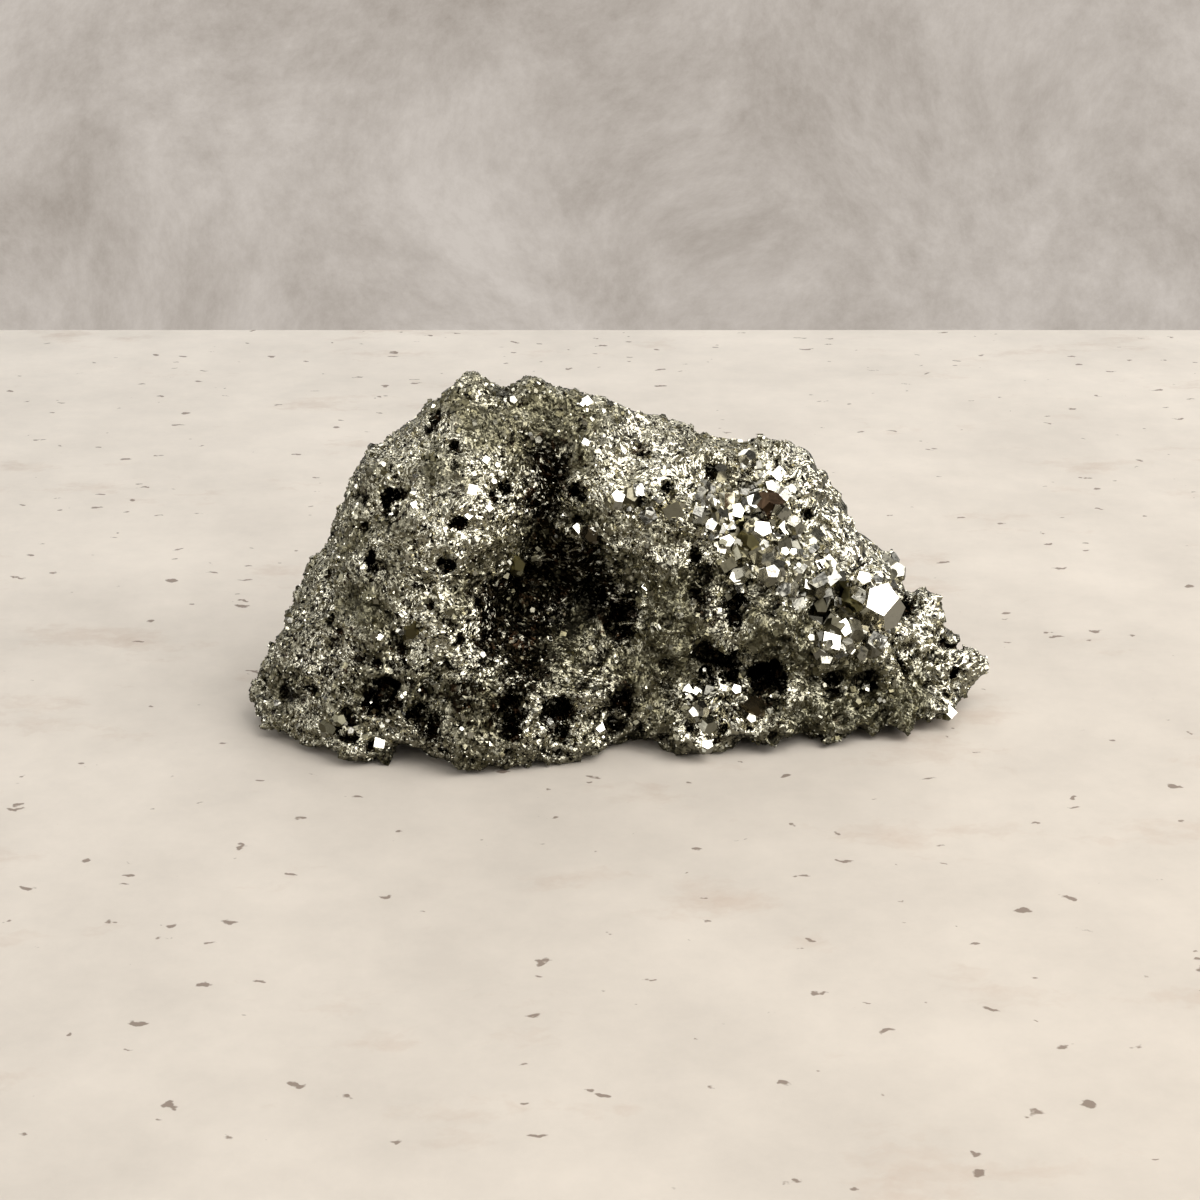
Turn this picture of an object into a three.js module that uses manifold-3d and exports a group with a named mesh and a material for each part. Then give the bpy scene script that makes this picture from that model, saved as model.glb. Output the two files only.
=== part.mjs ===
// A rough cluster of pyrite, grown and broken loose as one piece: a massive body with open vugs, a
// large hollow in its front, coarse crystals on its right shoulder and lumps along its lower edge.
// Millimetres. +X runs along the cluster, -Y is its front, +Z is up, and it rests on Z = 0.
import * as THREE from "three";
import { ConvexGeometry } from "three/addons/geometries/ConvexGeometry.js";
import { ImprovedNoise } from "three/addons/math/ImprovedNoise.js";
import { mergeVertices } from "three/addons/utils/BufferGeometryUtils.js";
import Module from "manifold-3d";

// ---- driving dimensions ----
const LENGTH = 180;
const STATIONS = 53; // sections along the length
const FRONT_STEPS = 22; // vertices up the front of a section
const BACK_STEPS = 12;
const UNDER_STEPS = 7;
const END_CROWDING = 0.3; // 0 spaces the sections evenly, 1 crowds them most towards the ends
const JITTER = 0.3; // how unevenly the vertices are spread, as a share of their spacing
// The body's unevenness, coarse to fine, and the relief of its broken underside.
const WAVES = [
  { size: 32, height: 2.6, offset: 3.7 },
  { size: 13, height: 2.2, offset: 4.7 },
  { size: 6, height: 1.5, offset: 5.7 },
];
const UNDER_WAVE = { size: 17, height: 3.2, offset: 8.3 };
const UNDER_LIFT = 0.5; // mean height of the underside, before it is worn flat
const END_REACH = 14; // the waves are calmer within this distance of the two ends
const END_CALM = 0.6; // by this share
const TIP_LIFT = 9; // how far the right tip overhangs
const TIP_REACH = 10; // over this much of its length
const RIM_HEIGHT = 3.5; // where a face's foot turns under
const FRONT_FULLNESS = 1.3; // 1 is a quarter ellipse, 2 is a straight slope
const BACK_FULLNESS = 1.12;

// ---- outlines ----
// The crest, from the left end over the summit and the shoulder to the right tip.
const crest = new THREE.CatmullRomCurve3(
  [
    [-90, -8, 9],
    [-87, -4, 15.5],
    [-79, 0, 26],
    [-69.5, 1, 40],
    [-59.5, 2, 63.5],
    [-48, 2, 75.5],
    [-35, 2, 86],
    [-20, 3, 83],
    [-5, 5, 80.5],
    [14, 8, 72.5],
    [30, 11, 66],
    [42, 12, 64.5],
    [50, 12, 56.5],
    [60, 10, 46.5],
    [71, 7, 26.5],
    [79, 5, 25],
    [82.5, 4, 18.5],
    [85, 3, 14.5],
    [90, 1, 14.5],
  ].map(([x, y, z]) => new THREE.Vector3(x, y, z)),
);
const LEFT_END = new THREE.Vector3(-91, -3, 4);
const RIGHT_END = new THREE.Vector3(91, 1, 11);
// Where the front and the back meet the ground, seen from above.
const frontFoot = new THREE.SplineCurve(
  [
    [-90, -3],
    [-84, -16],
    [-72, -26],
    [-54, -31],
    [-36, -34],
    [-18, -32.5],
    [-4, -28.5],
    [6, -24.5],
    [30, -26],
    [46, -21.5],
    [60, -21],
    [72, -15],
    [82, -7],
    [90, -1],
  ].map(([x, y]) => new THREE.Vector2(x, y)),
);
const backFoot = new THREE.SplineCurve(
  [
    [-90, -3],
    [-82, 15],
    [-62, 31],
    [-38, 42],
    [-8, 46],
    [22, 47],
    [48, 41],
    [68, 30],
    [82, 16],
    [90, 2],
  ].map(([x, y]) => new THREE.Vector2(x, y)),
);

// ---- lobes and hollows: [x, z, width, height, push], out of the face, or in where negative ----
const FRONT_FORMS = [
  [-58, 34, 30, 34, 4], // the broad left lobe
  [-38, 58, 20, 18, 2],
  [-17, 66, 7, 15, -6], // the channel down into the hollow
  [-14, 53, 9, 11, -8],
  [-18, 41, 15, 11, -15], // the large hollow
  [-7, 35, 10, 10, -13],
  [-27, 31, 9, 9, -8],
  [10, 56, 13, 12, 4], // the ridge on the hollow's right
  [12, 36, 9, 14, 4],
  [-8, 17, 17, 6, 6], // the ledge under it
  [-30, 12, 13, 9, 3],
  [34, 56, 10, 8, -3],
  [46, 58, 8, 8, 3], // the right shoulder
  [40, 40, 10, 7, 3],
  [30, 30, 16, 5, 5], // the arch over the low vugs
  [30, 19, 14, 5, -6],
  [58, 33, 9, 5, -5], // the step under the shoulder
  [66, 36, 5, 5, 3],
  [56, 22, 12, 5, 4],
  [76, 20, 5, 6, 2],
  [26, 7, 18, 4, 2],
];
const BACK_FORMS = [
  [-52, 40, 22, 20, 4],
  [-24, 60, 12, 12, -4],
  [-12, 30, 16, 14, -7],
  [18, 46, 16, 14, 5],
  [44, 30, 14, 12, -5],
  [60, 20, 10, 9, 3],
  [-66, 18, 13, 9, -3],
];
// Round lumps along the foot of the front, and knobs on the skyline: [x, radius, push].
const FOOT_LUMPS = [
  [-84, 5, 1],
  [-74, 4, 2],
  [-64, 5, 4],
  [-36, 6, 2.5],
  [-22, 5, 2],
  [-9, 4.5, 4],
  [3, 4, -3],
  [11, 3.5, 4],
  [18, 4, 6],
  [28, 3.5, 2],
  [40, 3.5, 4],
  [54, 4.5, 4],
  [69, 4, 5],
  [81, 4, 5],
];
const CREST_KNOBS = [
  [-58, 5, 1.5],
  [-34, 4, 3],
  [-27.5, 3.5, -4.5],
  [-20, 5, 2.5],
  [-8, 5, 1.2],
  [41, 5, 1],
  [64, 4, 3],
  [76, 4, 3],
];

// ---- vugs, which open through a face: [x, z, radius, depth] ----
const FRONT_VUGS = [
  [-53, 61, 2.8, 5],
  [-63, 58, 1.8, 4],
  [-43, 77, 1.6, 4],
  [-42, 73, 1.8, 4],
  [-38, 70, 1.8, 4],
  [-37, 58, 2.4, 5],
  [-27, 62, 2.6, 5],
  [-58, 48, 2.4, 5],
  [-40, 48, 2.4, 5],
  [-66, 30, 2.4, 5],
  [-54, 19, 5, 9],
  [-46, 15, 2.8, 6],
  [-68, 8, 2.8, 5],
  [-36, 24, 2.6, 5],
  [-25, 16, 3.6, 7],
  [-13, 14, 3.6, 7],
  [-22, 38, 4.5, 7],
  [-8, 33, 6, 9],
  [1, 33, 3.6, 7],
  [1, 15, 3, 9],
  [-10, 61, 2.4, 5],
  [6, 59, 2, 4],
  [12, 62, 2.2, 5],
  [23, 64, 2.4, 5],
  [19, 46, 2, 4],
  [28, 36, 3, 5],
  [21, 23, 3.8, 8],
  [27, 24, 3.4, 8],
  [36, 18, 5, 9],
  [52, 16, 2.8, 6],
  [60, 15, 2.8, 6],
  [46, 35, 2.4, 5],
];
const BACK_VUGS = [
  [-60, 30, 4, 7],
  [-40, 52, 3, 6],
  [-30, 20, 5, 9],
  [-14, 36, 4.5, 8],
  [6, 14, 4, 7],
  [16, 58, 2.6, 5],
  [30, 36, 3.4, 6],
  [46, 22, 4.2, 8],
  [62, 12, 3, 6],
];

// ---- coarse crystals that stand out of the front: [x, z, edge, form] ----
const CRYSTALS = [
  [0, 61, 4, "cube"],
  [18, 57, 4.5, "cube"],
  [24, 56, 6, "cube"],
  [30, 54, 5, "pyritohedron"],
  [35, 56, 6, "cube"],
  [38, 53, 6.5, "cube"],
  [33, 49, 6, "pyritohedron"],
  [28, 47, 5, "cube"],
  [40, 46, 5, "pyritohedron"],
  [44, 41, 5, "cube"],
  [48, 41, 4.5, "pyritohedron"],
  [63, 31, 8.5, "pyritohedron"],
  [58, 31, 6, "cube"],
  [55, 28, 6.5, "cube"],
  [52, 25, 5, "pyritohedron"],
  [68, 28, 5, "cube"],
  [20, 7, 6, "cube"],
  [18, 12, 5, "cube"],
  [-53, 59, 3.5, "cube"],
  [-54, 16, 4, "cube"],
  [36, 15, 4.5, "pyritohedron"],
  [84, 12, 4.5, "cube"],
];
const SUNK = 0.22; // how deep a crystal sits, as a share of its edge

// ---- sections of the body ----
const HALF = LENGTH / 2;
const HALVINGS = 24; // steps of each search by halving
const smooth = (low, high, v) => THREE.MathUtils.smoothstep(v, low, high);

// An even, repeatable scatter between -1 and 1.
const scatter = (a, b) => {
  const s = Math.sin(a * 127.1 + b * 311.7) * 43758.5453;
  return 2 * (s - Math.floor(s)) - 1;
};

// A curve's point at a given x. The outlines all run steadily from left to right.
function atX(curve, x) {
  let low = 0;
  let high = 1;
  for (let i = 0; i < HALVINGS; i++) {
    const middle = (low + high) / 2;
    if (curve.getPoint(middle).x < x) low = middle;
    else high = middle;
  }
  return curve.getPoint((low + high) / 2);
}

const tipLift = (x) => TIP_LIFT * smooth(HALF - TIP_REACH, HALF, x);

// A point of a face: rise runs from 0 at its foot to 1 at the crest.
function facePoint(x, rise, side) {
  const top = atX(crest, x);
  const foot = atX(side === "front" ? frontFoot : backFoot, x);
  const fullness = side === "front" ? FRONT_FULLNESS : BACK_FULLNESS;
  const angle = (rise * Math.PI) / 2;
  const rim = Math.min(RIM_HEIGHT, top.z * 0.3) + tipLift(x);
  return new THREE.Vector3(
    x,
    top.y + (foot.y - top.y) * Math.cos(angle) ** fullness,
    rim + (top.z - rim) * Math.sin(angle) ** fullness,
  );
}

// The ring round one section: up the front, down the back, and along the underside.
function section(x, index, spacing) {
  const ring = [];
  const uneven = (j) => JITTER * scatter(index, j);
  const shifted = (j) => x + spacing * JITTER * scatter(j, index + 0.5);
  for (let i = 0; i < FRONT_STEPS; i++) {
    ring.push(facePoint(shifted(i), Math.max(0, (i + uneven(i)) / FRONT_STEPS), "front"));
  }
  for (let i = 0; i < BACK_STEPS; i++) {
    const rise = 1 - (i + 0.5 + uneven(i + 50)) / BACK_STEPS;
    ring.push(facePoint(shifted(i + 50), rise, "back"));
  }
  const front = atX(frontFoot, x).y;
  const back = atX(backFoot, x).y;
  for (let i = 0; i < UNDER_STEPS; i++) {
    const share = (i + 0.7 + uneven(i + 90)) / (UNDER_STEPS + 0.4);
    const y = back + (front - back) * share;
    ring.push(new THREE.Vector3(shifted(i + 90), y, UNDER_LIFT + tipLift(x)));
  }
  return ring;
}

// A closed mesh over rings of points, with a pole at each end.
function loft(rings, firstPole, lastPole) {
  const around = rings[0].length;
  const points = [firstPole, ...rings.flat(), lastPole];
  const last = points.length - 1;
  const at = (i, j) => 1 + i * around + (j % around);
  const faces = [];
  for (let j = 0; j < around; j++) {
    faces.push(0, at(0, j), at(0, j + 1));
    faces.push(last, at(rings.length - 1, j + 1), at(rings.length - 1, j));
    for (let i = 0; i < rings.length - 1; i++) {
      faces.push(at(i, j), at(i + 1, j), at(i, j + 1));
      faces.push(at(i, j + 1), at(i + 1, j), at(i + 1, j + 1));
    }
  }
  return new THREE.BufferGeometry().setFromPoints(points).setIndex(faces);
}

// ---- unevenness, lobes and hollows ----
const noise = new ImprovedNoise();
const wave = (p, { size, height, offset }) =>
  height * noise.noise(p.x / size + offset, p.y / size - offset, p.z / size + 2 * offset);

// The face's point at a given height.
function faceAt(x, z, side) {
  let low = 0;
  let high = 1;
  for (let i = 0; i < HALVINGS; i++) {
    const middle = (low + high) / 2;
    if (facePoint(x, middle, side).z < z) low = middle;
    else high = middle;
  }
  return facePoint(x, (low + high) / 2, side);
}

const broadForm = (side) => ([x, z, width, height, push]) => ({
  centre: faceAt(x, z, side),
  reach: new THREE.Vector3(width, (width + height) / 2, height),
  push,
});
const roundForm = (rise) => ([x, radius, push]) => ({
  centre: facePoint(x, rise, "front"),
  reach: new THREE.Vector3(radius, radius, radius),
  push,
});
const forms = [
  ...FRONT_FORMS.map(broadForm("front")),
  ...BACK_FORMS.map(broadForm("back")),
  ...FOOT_LUMPS.map(roundForm(0.05)),
  ...CREST_KNOBS.map(roundForm(1)),
];

// A form's push at a point, fading out as a bell curve.
const pushOf = (form, p) =>
  form.push * Math.exp(-p.clone().sub(form.centre).divide(form.reach).lengthSq());

function bodyGeometry() {
  const rings = [];
  for (let i = 1; i < STATIONS; i++) {
    const even = (2 * i) / STATIONS - 1;
    const crowded = Math.sin((even * Math.PI) / 2);
    const x = HALF * THREE.MathUtils.lerp(even, crowded, END_CROWDING);
    rings.push(section(x, i, LENGTH / STATIONS));
  }
  const geometry = loft(rings, LEFT_END, RIGHT_END);
  geometry.computeVertexNormals();
  const position = geometry.getAttribute("position");
  const normal = geometry.getAttribute("normal");
  const p = new THREE.Vector3();
  const n = new THREE.Vector3();
  for (let i = 0; i < position.count; i++) {
    p.fromBufferAttribute(position, i);
    n.fromBufferAttribute(normal, i);
    const calm = 1 - END_CALM * smooth(HALF - END_REACH, HALF, Math.abs(p.x));
    const lobes = forms.reduce((sum, form) => sum + pushOf(form, p), 0);
    const waves = WAVES.reduce((sum, swell) => sum + calm * wave(p, swell), 0);
    // 1 on the faces, 0 on the underside, and between the two round the rim
    const face = smooth(UNDER_LIFT + 0.3, RIM_HEIGHT, p.z - tipLift(p.x));
    p.addScaledVector(n, face * (lobes + waves) - (1 - face) * wave(p, UNDER_WAVE));
    position.setXYZ(i, p.x, p.y, p.z);
  }
  return geometry;
}

// ---- vugs and crystals, placed on the finished body ----
const body = new THREE.Mesh(bodyGeometry());

// Where a level line from the front or back meets the body, and the way out of it there.
function surfaceAt(x, z, side) {
  const inward = side === "front" ? 1 : -1;
  const ray = new THREE.Raycaster(
    new THREE.Vector3(x, -inward * LENGTH, z),
    new THREE.Vector3(0, inward, 0),
  );
  const hit = ray.intersectObject(body)[0];
  return { point: hit.point, outward: hit.face.normal };
}

const UP = new THREE.Vector3(0, 0, 1);

// A ragged egg-shaped hole, with its long way along the face's inward direction.
function vugGeometry([x, z, radius, depth], side) {
  const { point, outward } = surfaceAt(x, z, side);
  const geometry = new THREE.IcosahedronGeometry(1, 1);
  const position = geometry.getAttribute("position");
  const p = new THREE.Vector3();
  for (let i = 0; i < position.count; i++) {
    p.fromBufferAttribute(position, i);
    p.multiplyScalar(1 + 0.5 * noise.noise(p.x * 1.7 + x, p.y * 1.7 + z, p.z * 1.7));
    position.setXYZ(i, p.x, p.y, p.z);
  }
  geometry.scale(radius, radius * 0.85, depth);
  geometry.applyQuaternion(new THREE.Quaternion().setFromUnitVectors(UP, outward));
  return geometry.translate(point.x, point.y, point.z);
}

// The pentagonal twelve-faced form that pyrite often takes, about one unit across.
function pyritohedron() {
  const long = 0.5 * 1.5;
  const short = 0.5 * 0.75;
  const corners = [];
  for (const a of [-1, 1]) {
    for (const b of [-1, 1]) {
      corners.push(new THREE.Vector3(0, a * long, b * short));
      corners.push(new THREE.Vector3(a * short, 0, b * long));
      corners.push(new THREE.Vector3(a * long, b * short, 0));
      for (const c of [-1, 1]) corners.push(new THREE.Vector3(a, b, c).multiplyScalar(0.5));
    }
  }
  return new ConvexGeometry(corners);
}

function crystalGeometry([x, z, edge, form]) {
  const { point, outward } = surfaceAt(x, z, "front");
  const geometry = form === "cube" ? new THREE.BoxGeometry(1, 1, 1) : pyritohedron();
  geometry.scale(edge, edge, edge);
  const turn = new THREE.Euler(3 * scatter(x, z), 3 * scatter(z, x), 3 * scatter(x + z, x - z));
  geometry.applyQuaternion(new THREE.Quaternion().setFromEuler(turn));
  point.addScaledVector(outward, -SUNK * edge);
  return geometry.translate(point.x, point.y, point.z);
}

// ---- joining and cutting ----
const wasm = await Module();
wasm.setup();

function solidOf(geometry) {
  const bare = geometry.index ? geometry.toNonIndexed() : geometry.clone();
  bare.deleteAttribute("normal");
  bare.deleteAttribute("uv");
  const merged = mergeVertices(bare, 1e-4);
  return new wasm.Manifold(
    new wasm.Mesh({
      numProp: 3,
      vertProperties: merged.getAttribute("position").array,
      triVerts: new Uint32Array(merged.index.array),
    }),
  );
}

function geometryOf(solid) {
  const { vertProperties, triVerts } = solid.getMesh();
  return new THREE.BufferGeometry()
    .setAttribute("position", new THREE.BufferAttribute(new Float32Array(vertProperties), 3))
    .setIndex(new THREE.BufferAttribute(new Uint32Array(triVerts), 1));
}

let cluster = solidOf(body.geometry);
for (const vug of FRONT_VUGS) cluster = cluster.subtract(solidOf(vugGeometry(vug, "front")));
for (const vug of BACK_VUGS) cluster = cluster.subtract(solidOf(vugGeometry(vug, "back")));
for (const crystal of CRYSTALS) cluster = cluster.add(solidOf(crystalGeometry(crystal)));

// The lowest lumps are worn flat where the cluster rests.
const ground = new THREE.BoxGeometry(2 * LENGTH, 2 * LENGTH, LENGTH).translate(0, 0, -LENGTH / 2);
cluster = cluster.subtract(solidOf(ground));

// ---- the part, centred over its origin ----
const geometry = geometryOf(cluster);
geometry.computeBoundingBox();
const middle = geometry.boundingBox.getCenter(new THREE.Vector3());
geometry.translate(-middle.x, -middle.y, -geometry.boundingBox.min.z);
geometry.computeVertexNormals();

const pyrite = new THREE.MeshStandardMaterial({
  color: 0x9a9272,
  roughness: 0.35,
  metalness: 1,
  flatShading: true,
});
const clusterMesh = new THREE.Mesh(geometry, pyrite);
clusterMesh.name = "pyrite_cluster";

const group = new THREE.Group();
group.add(clusterMesh);
export default group;
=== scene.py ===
import math
import random

import bmesh
import bpy
import numpy as np
from mathutils import Matrix, Vector, noise
from mathutils.bvhtree import BVHTree


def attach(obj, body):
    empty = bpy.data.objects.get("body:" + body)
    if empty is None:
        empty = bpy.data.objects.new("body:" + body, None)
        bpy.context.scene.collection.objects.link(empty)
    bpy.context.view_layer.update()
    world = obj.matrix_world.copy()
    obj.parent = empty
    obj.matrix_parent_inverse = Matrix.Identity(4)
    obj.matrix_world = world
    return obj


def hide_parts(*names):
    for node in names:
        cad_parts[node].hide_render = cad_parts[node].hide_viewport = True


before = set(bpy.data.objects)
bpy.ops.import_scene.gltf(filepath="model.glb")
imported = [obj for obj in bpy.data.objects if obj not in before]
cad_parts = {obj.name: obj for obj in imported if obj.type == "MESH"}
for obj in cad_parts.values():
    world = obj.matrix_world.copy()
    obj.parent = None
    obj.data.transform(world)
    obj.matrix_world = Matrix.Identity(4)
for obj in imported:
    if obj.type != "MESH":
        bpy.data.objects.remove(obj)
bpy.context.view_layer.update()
MM = 0.001


# --------------------------------------------------------------------------------------------------
# The massive pyrite
# The body that everything else grew on: intergrown pyrite, broken loose from its vein, with open
# vugs. Its skin is knobbly down to the size of a grain, calmer over the left flank and wilder
# towards its foot and its right end.
# --------------------------------------------------------------------------------------------------
VOXEL = 0.95 * MM  # the skin's mesh, fine enough for pits of 2 mm
WELD = 0.002 * MM  # corners closer than this are one

rock_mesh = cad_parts["pyrite_cluster"].data.copy()
rock_mesh.name = "massive_pyrite"
rock_mesh.materials.clear()
merged = bmesh.new()
merged.from_mesh(rock_mesh)
bmesh.ops.remove_doubles(merged, verts=merged.verts, dist=WELD)
merged.to_mesh(rock_mesh)
merged.free()


def plain_object(name, data):
    made = bpy.data.objects.new(name, data)
    bpy.context.collection.objects.link(made)
    return made


rock = plain_object("massive_pyrite", rock_mesh)


def add_node(tree, kind, inputs=(), **settings):
    """A new node with its settings. inputs gives each socket a value, or the socket that feeds it."""
    made = tree.nodes.new(kind)
    for name, value in settings.items():
        setattr(made, name, value)
    for socket, value in dict(inputs).items():
        if isinstance(value, bpy.types.NodeSocket):
            tree.links.new(value, made.inputs[socket])
        else:
            made.inputs[socket].default_value = value
    return made


def new_tree(name, sizes):
    """A geometry tree with a geometry going in and out, and a named input for each of its sizes."""
    tree = bpy.data.node_groups.new(name, "GeometryNodeTree")
    tree.interface.new_socket("Geometry", in_out="INPUT", socket_type="NodeSocketGeometry")
    tree.interface.new_socket("Geometry", in_out="OUTPUT", socket_type="NodeSocketGeometry")
    for title, kind in sizes.items():
        tree.interface.new_socket(title, in_out="INPUT", socket_type="NodeSocket" + kind)
    return tree, tree.nodes.new("NodeGroupInput"), tree.nodes.new("NodeGroupOutput")


def add_tree(piece, tree, values):
    """Puts a tree on a piece, with its inputs set by their identifiers."""
    modifier = piece.modifiers.new(tree.name, "NODES")
    modifier.node_group = tree
    for item in tree.interface.items_tree:
        if item.in_out == "INPUT" and item.name in values:
            modifier[item.identifier] = values[item.name]


def plain_mesh(piece, name):
    """The mesh that a piece's modifiers give."""
    bpy.context.view_layer.update()
    evaluated = piece.evaluated_get(bpy.context.evaluated_depsgraph_get())
    mesh = bpy.data.meshes.new_from_object(evaluated)
    mesh.name = name
    return mesh


tree, given, out = new_tree("pyrite_skin", {"Ragged": "Float", "Lump Size": "Float",
    "Lump Height": "Float", "Knob Size": "Float", "Knob Height": "Float", "Bud Size": "Float",
    "Bud Height": "Float", "Pit Size": "Float", "Pit Depth": "Float", "Drawn In": "Float"})
place = add_node(tree, "GeometryNodeInputPosition").outputs[0]
normal = add_node(tree, "GeometryNodeInputNormal").outputs[0]

# how wild the relief is: calm over the upper left, wilder towards the foot, over the right half
# and at the back. Each row is an axis, where its change starts and stops in mm, and its share there.
WILDER = [(2, 60, 18, 0.4, 1.1), (0, 5, 40, 0.0, 0.6), (1, 13, 22, 0.0, 0.4)]
parts = add_node(tree, "ShaderNodeSeparateXYZ", {0: place})
wild = 0.0
for axis, start, stop, first, last in WILDER:
    ramp = add_node(tree, "ShaderNodeMapRange", {"Value": parts.outputs[axis], "From Min": start * MM,
        "From Max": stop * MM, "To Min": first, "To Max": last})
    wild = add_node(tree, "ShaderNodeMath", {0: wild, 1: ramp.outputs[0]}, operation="ADD").outputs[0]

clouds = {}
for size, detail in (("Bud Size", 2.0), ("Lump Size", 2.5), ("Pit Size", 3.5)):
    scale = add_node(tree, "ShaderNodeMath", {0: 1.0, 1: given.outputs[size]}, operation="DIVIDE")
    clouds[size] = add_node(tree, "ShaderNodeTexNoise", {"Vector": place, "Scale": scale.outputs[0],
        "Detail": detail, "Roughness": 0.6}, normalize=False)

# every place is first pushed about a little, so that no bump, crease or vug keeps a round outline
reach = add_node(tree, "ShaderNodeMath", {0: wild, 1: given.outputs["Ragged"]}, operation="MULTIPLY")
astray = add_node(tree, "ShaderNodeVectorMath", {0: clouds["Bud Size"].outputs["Color"],
    "Scale": reach.outputs[0]}, operation="SCALE").outputs[0]
strayed = add_node(tree, "ShaderNodeVectorMath", {0: place, 1: astray}, operation="ADD").outputs[0]

# rounded bumps that meet in sharp creases, as a height about its own mean, in cells
MEAN = 0.55
domes = {}
for size in ("Knob Size", "Bud Size"):
    scale = add_node(tree, "ShaderNodeMath", {0: 1.0, 1: given.outputs[size]}, operation="DIVIDE")
    cells = add_node(tree, "ShaderNodeTexVoronoi", {"Vector": strayed, "Scale": scale.outputs[0]})
    domes[size] = add_node(tree, "ShaderNodeMath", {0: cells.outputs["Distance"], 1: -1.0, 2: MEAN},
        operation="MULTIPLY_ADD").outputs[0]

pits = add_node(tree, "ShaderNodeMapRange", {"Value": clouds["Pit Size"].outputs[0], "From Min": 0.38,
    "From Max": 0.75}, interpolation_type="SMOOTHSTEP")
lumps = add_node(tree, "ShaderNodeMath",
    {0: clouds["Lump Size"].outputs[0], 1: given.outputs["Lump Height"]}, operation="MULTIPLY")
knobs = add_node(tree, "ShaderNodeMath", {0: domes["Knob Size"], 1: given.outputs["Knob Height"],
    2: lumps.outputs[0]}, operation="MULTIPLY_ADD")
height = add_node(tree, "ShaderNodeMath", {0: knobs.outputs[0], 1: wild},
    operation="MULTIPLY").outputs[0]
pitted = add_node(tree, "ShaderNodeMath", {0: pits.outputs[0], 1: wild},
    operation="MULTIPLY").outputs[0]
for relief, amount in ((domes["Bud Size"], "Bud Height"), (pitted, "Pit Depth"), (wild, "Drawn In")):
    height = add_node(tree, "ShaderNodeMath", {0: relief, 1: given.outputs[amount], 2: height},
        operation="MULTIPLY_ADD").outputs[0]
raised = add_node(tree, "ShaderNodeVectorMath", {0: normal, "Scale": height}, operation="SCALE")
offset = add_node(tree, "ShaderNodeVectorMath", {0: raised.outputs[0], 1: astray}, operation="ADD")
reached = add_node(tree, "ShaderNodeVectorMath", {0: place, 1: offset.outputs[0]}, operation="ADD")
# nothing grows below the cut that it rests on, at a height of nought
above_cut = add_node(tree, "ShaderNodeVectorMath", {0: reached.outputs[0], 1: (-1.0, -1.0, 0.0)},
    operation="MAXIMUM")
moved = add_node(tree, "GeometryNodeSetPosition",
    {"Geometry": given.outputs[0], "Position": above_cut.outputs[0]})
tree.links.new(moved.outputs[0], out.inputs[0])


def even_out(piece):
    """Gives a piece a mesh of even squares, with everything that overlaps made one."""
    remesh = piece.modifiers.new("even skin", "REMESH")
    remesh.mode = "VOXEL"
    remesh.voxel_size = VOXEL


even_out(rock)
add_tree(rock, tree, {"Ragged": 2.0 * MM, "Lump Size": 11 * MM, "Lump Height": 1.8 * MM,
    "Knob Size": 5.5 * MM, "Knob Height": 2.4 * MM, "Bud Size": 2.4 * MM, "Bud Height": 1.0 * MM,
    "Pit Size": 6 * MM, "Pit Depth": -4.0 * MM, "Drawn In": -0.6 * MM})
even_out(rock)
skin = plain_mesh(rock, "massive_pyrite")
rock.modifiers.clear()
rock.data = skin


def places_of(mesh):
    """Where a mesh's vertices are, as rows of x, y and z."""
    return np.array([v.co for v in mesh.vertices])


# bumps and dips of the outline: x, z and reach, then how far they stand forward and up, all in mm
OUTLINE = [(-27, 84, 3.5, 0, -2.8), (-33.5, 86, 4.5, 0, -0.4), (-19, 83, 4.5, 0, 0.4),
    (-7, 80, 4, 0, -1), (50, 2, 3, 1.5, 0), (-53.5, 1, 3.5, -3, 1), (-64, 2, 4, 2, 0),
    (-47, 1, 4, -2, 1), (56, 1, 3.5, -2.5, 1), (62, 2, 3, 1, 0), (66.5, 1, 3, -2.5, 1),
    (70.5, 3, 2.5, 2, -0.5), (74, 1, 2.5, -2.5, 1.5), (79, 3.5, 3, 1.6, 0), (41, 1, 3, -2, 1),
    (36, 2, 3, 1.2, 0), (30, 1, 3, -2, 1), (8, 1, 6, -2, 1), (-2, 2, 4, 1, 0)]
CREST = 50  # a bump above this height, in mm, runs right over to the back
places = places_of(skin)
for x, z, reach, forward, up in OUTLINE:
    away = np.hypot(places[:, 0] - x * MM, places[:, 2] - z * MM) / (reach * MM)
    share = np.exp(-away ** 2) * np.minimum(places[:, 2] / (1 * MM), 1)
    share *= (places[:, 1] < 0) | (z > CREST)
    places += np.outer(share, (0, -forward * MM, up * MM))
skin.vertices.foreach_set("co", places.ravel())
skin.update()

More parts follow.
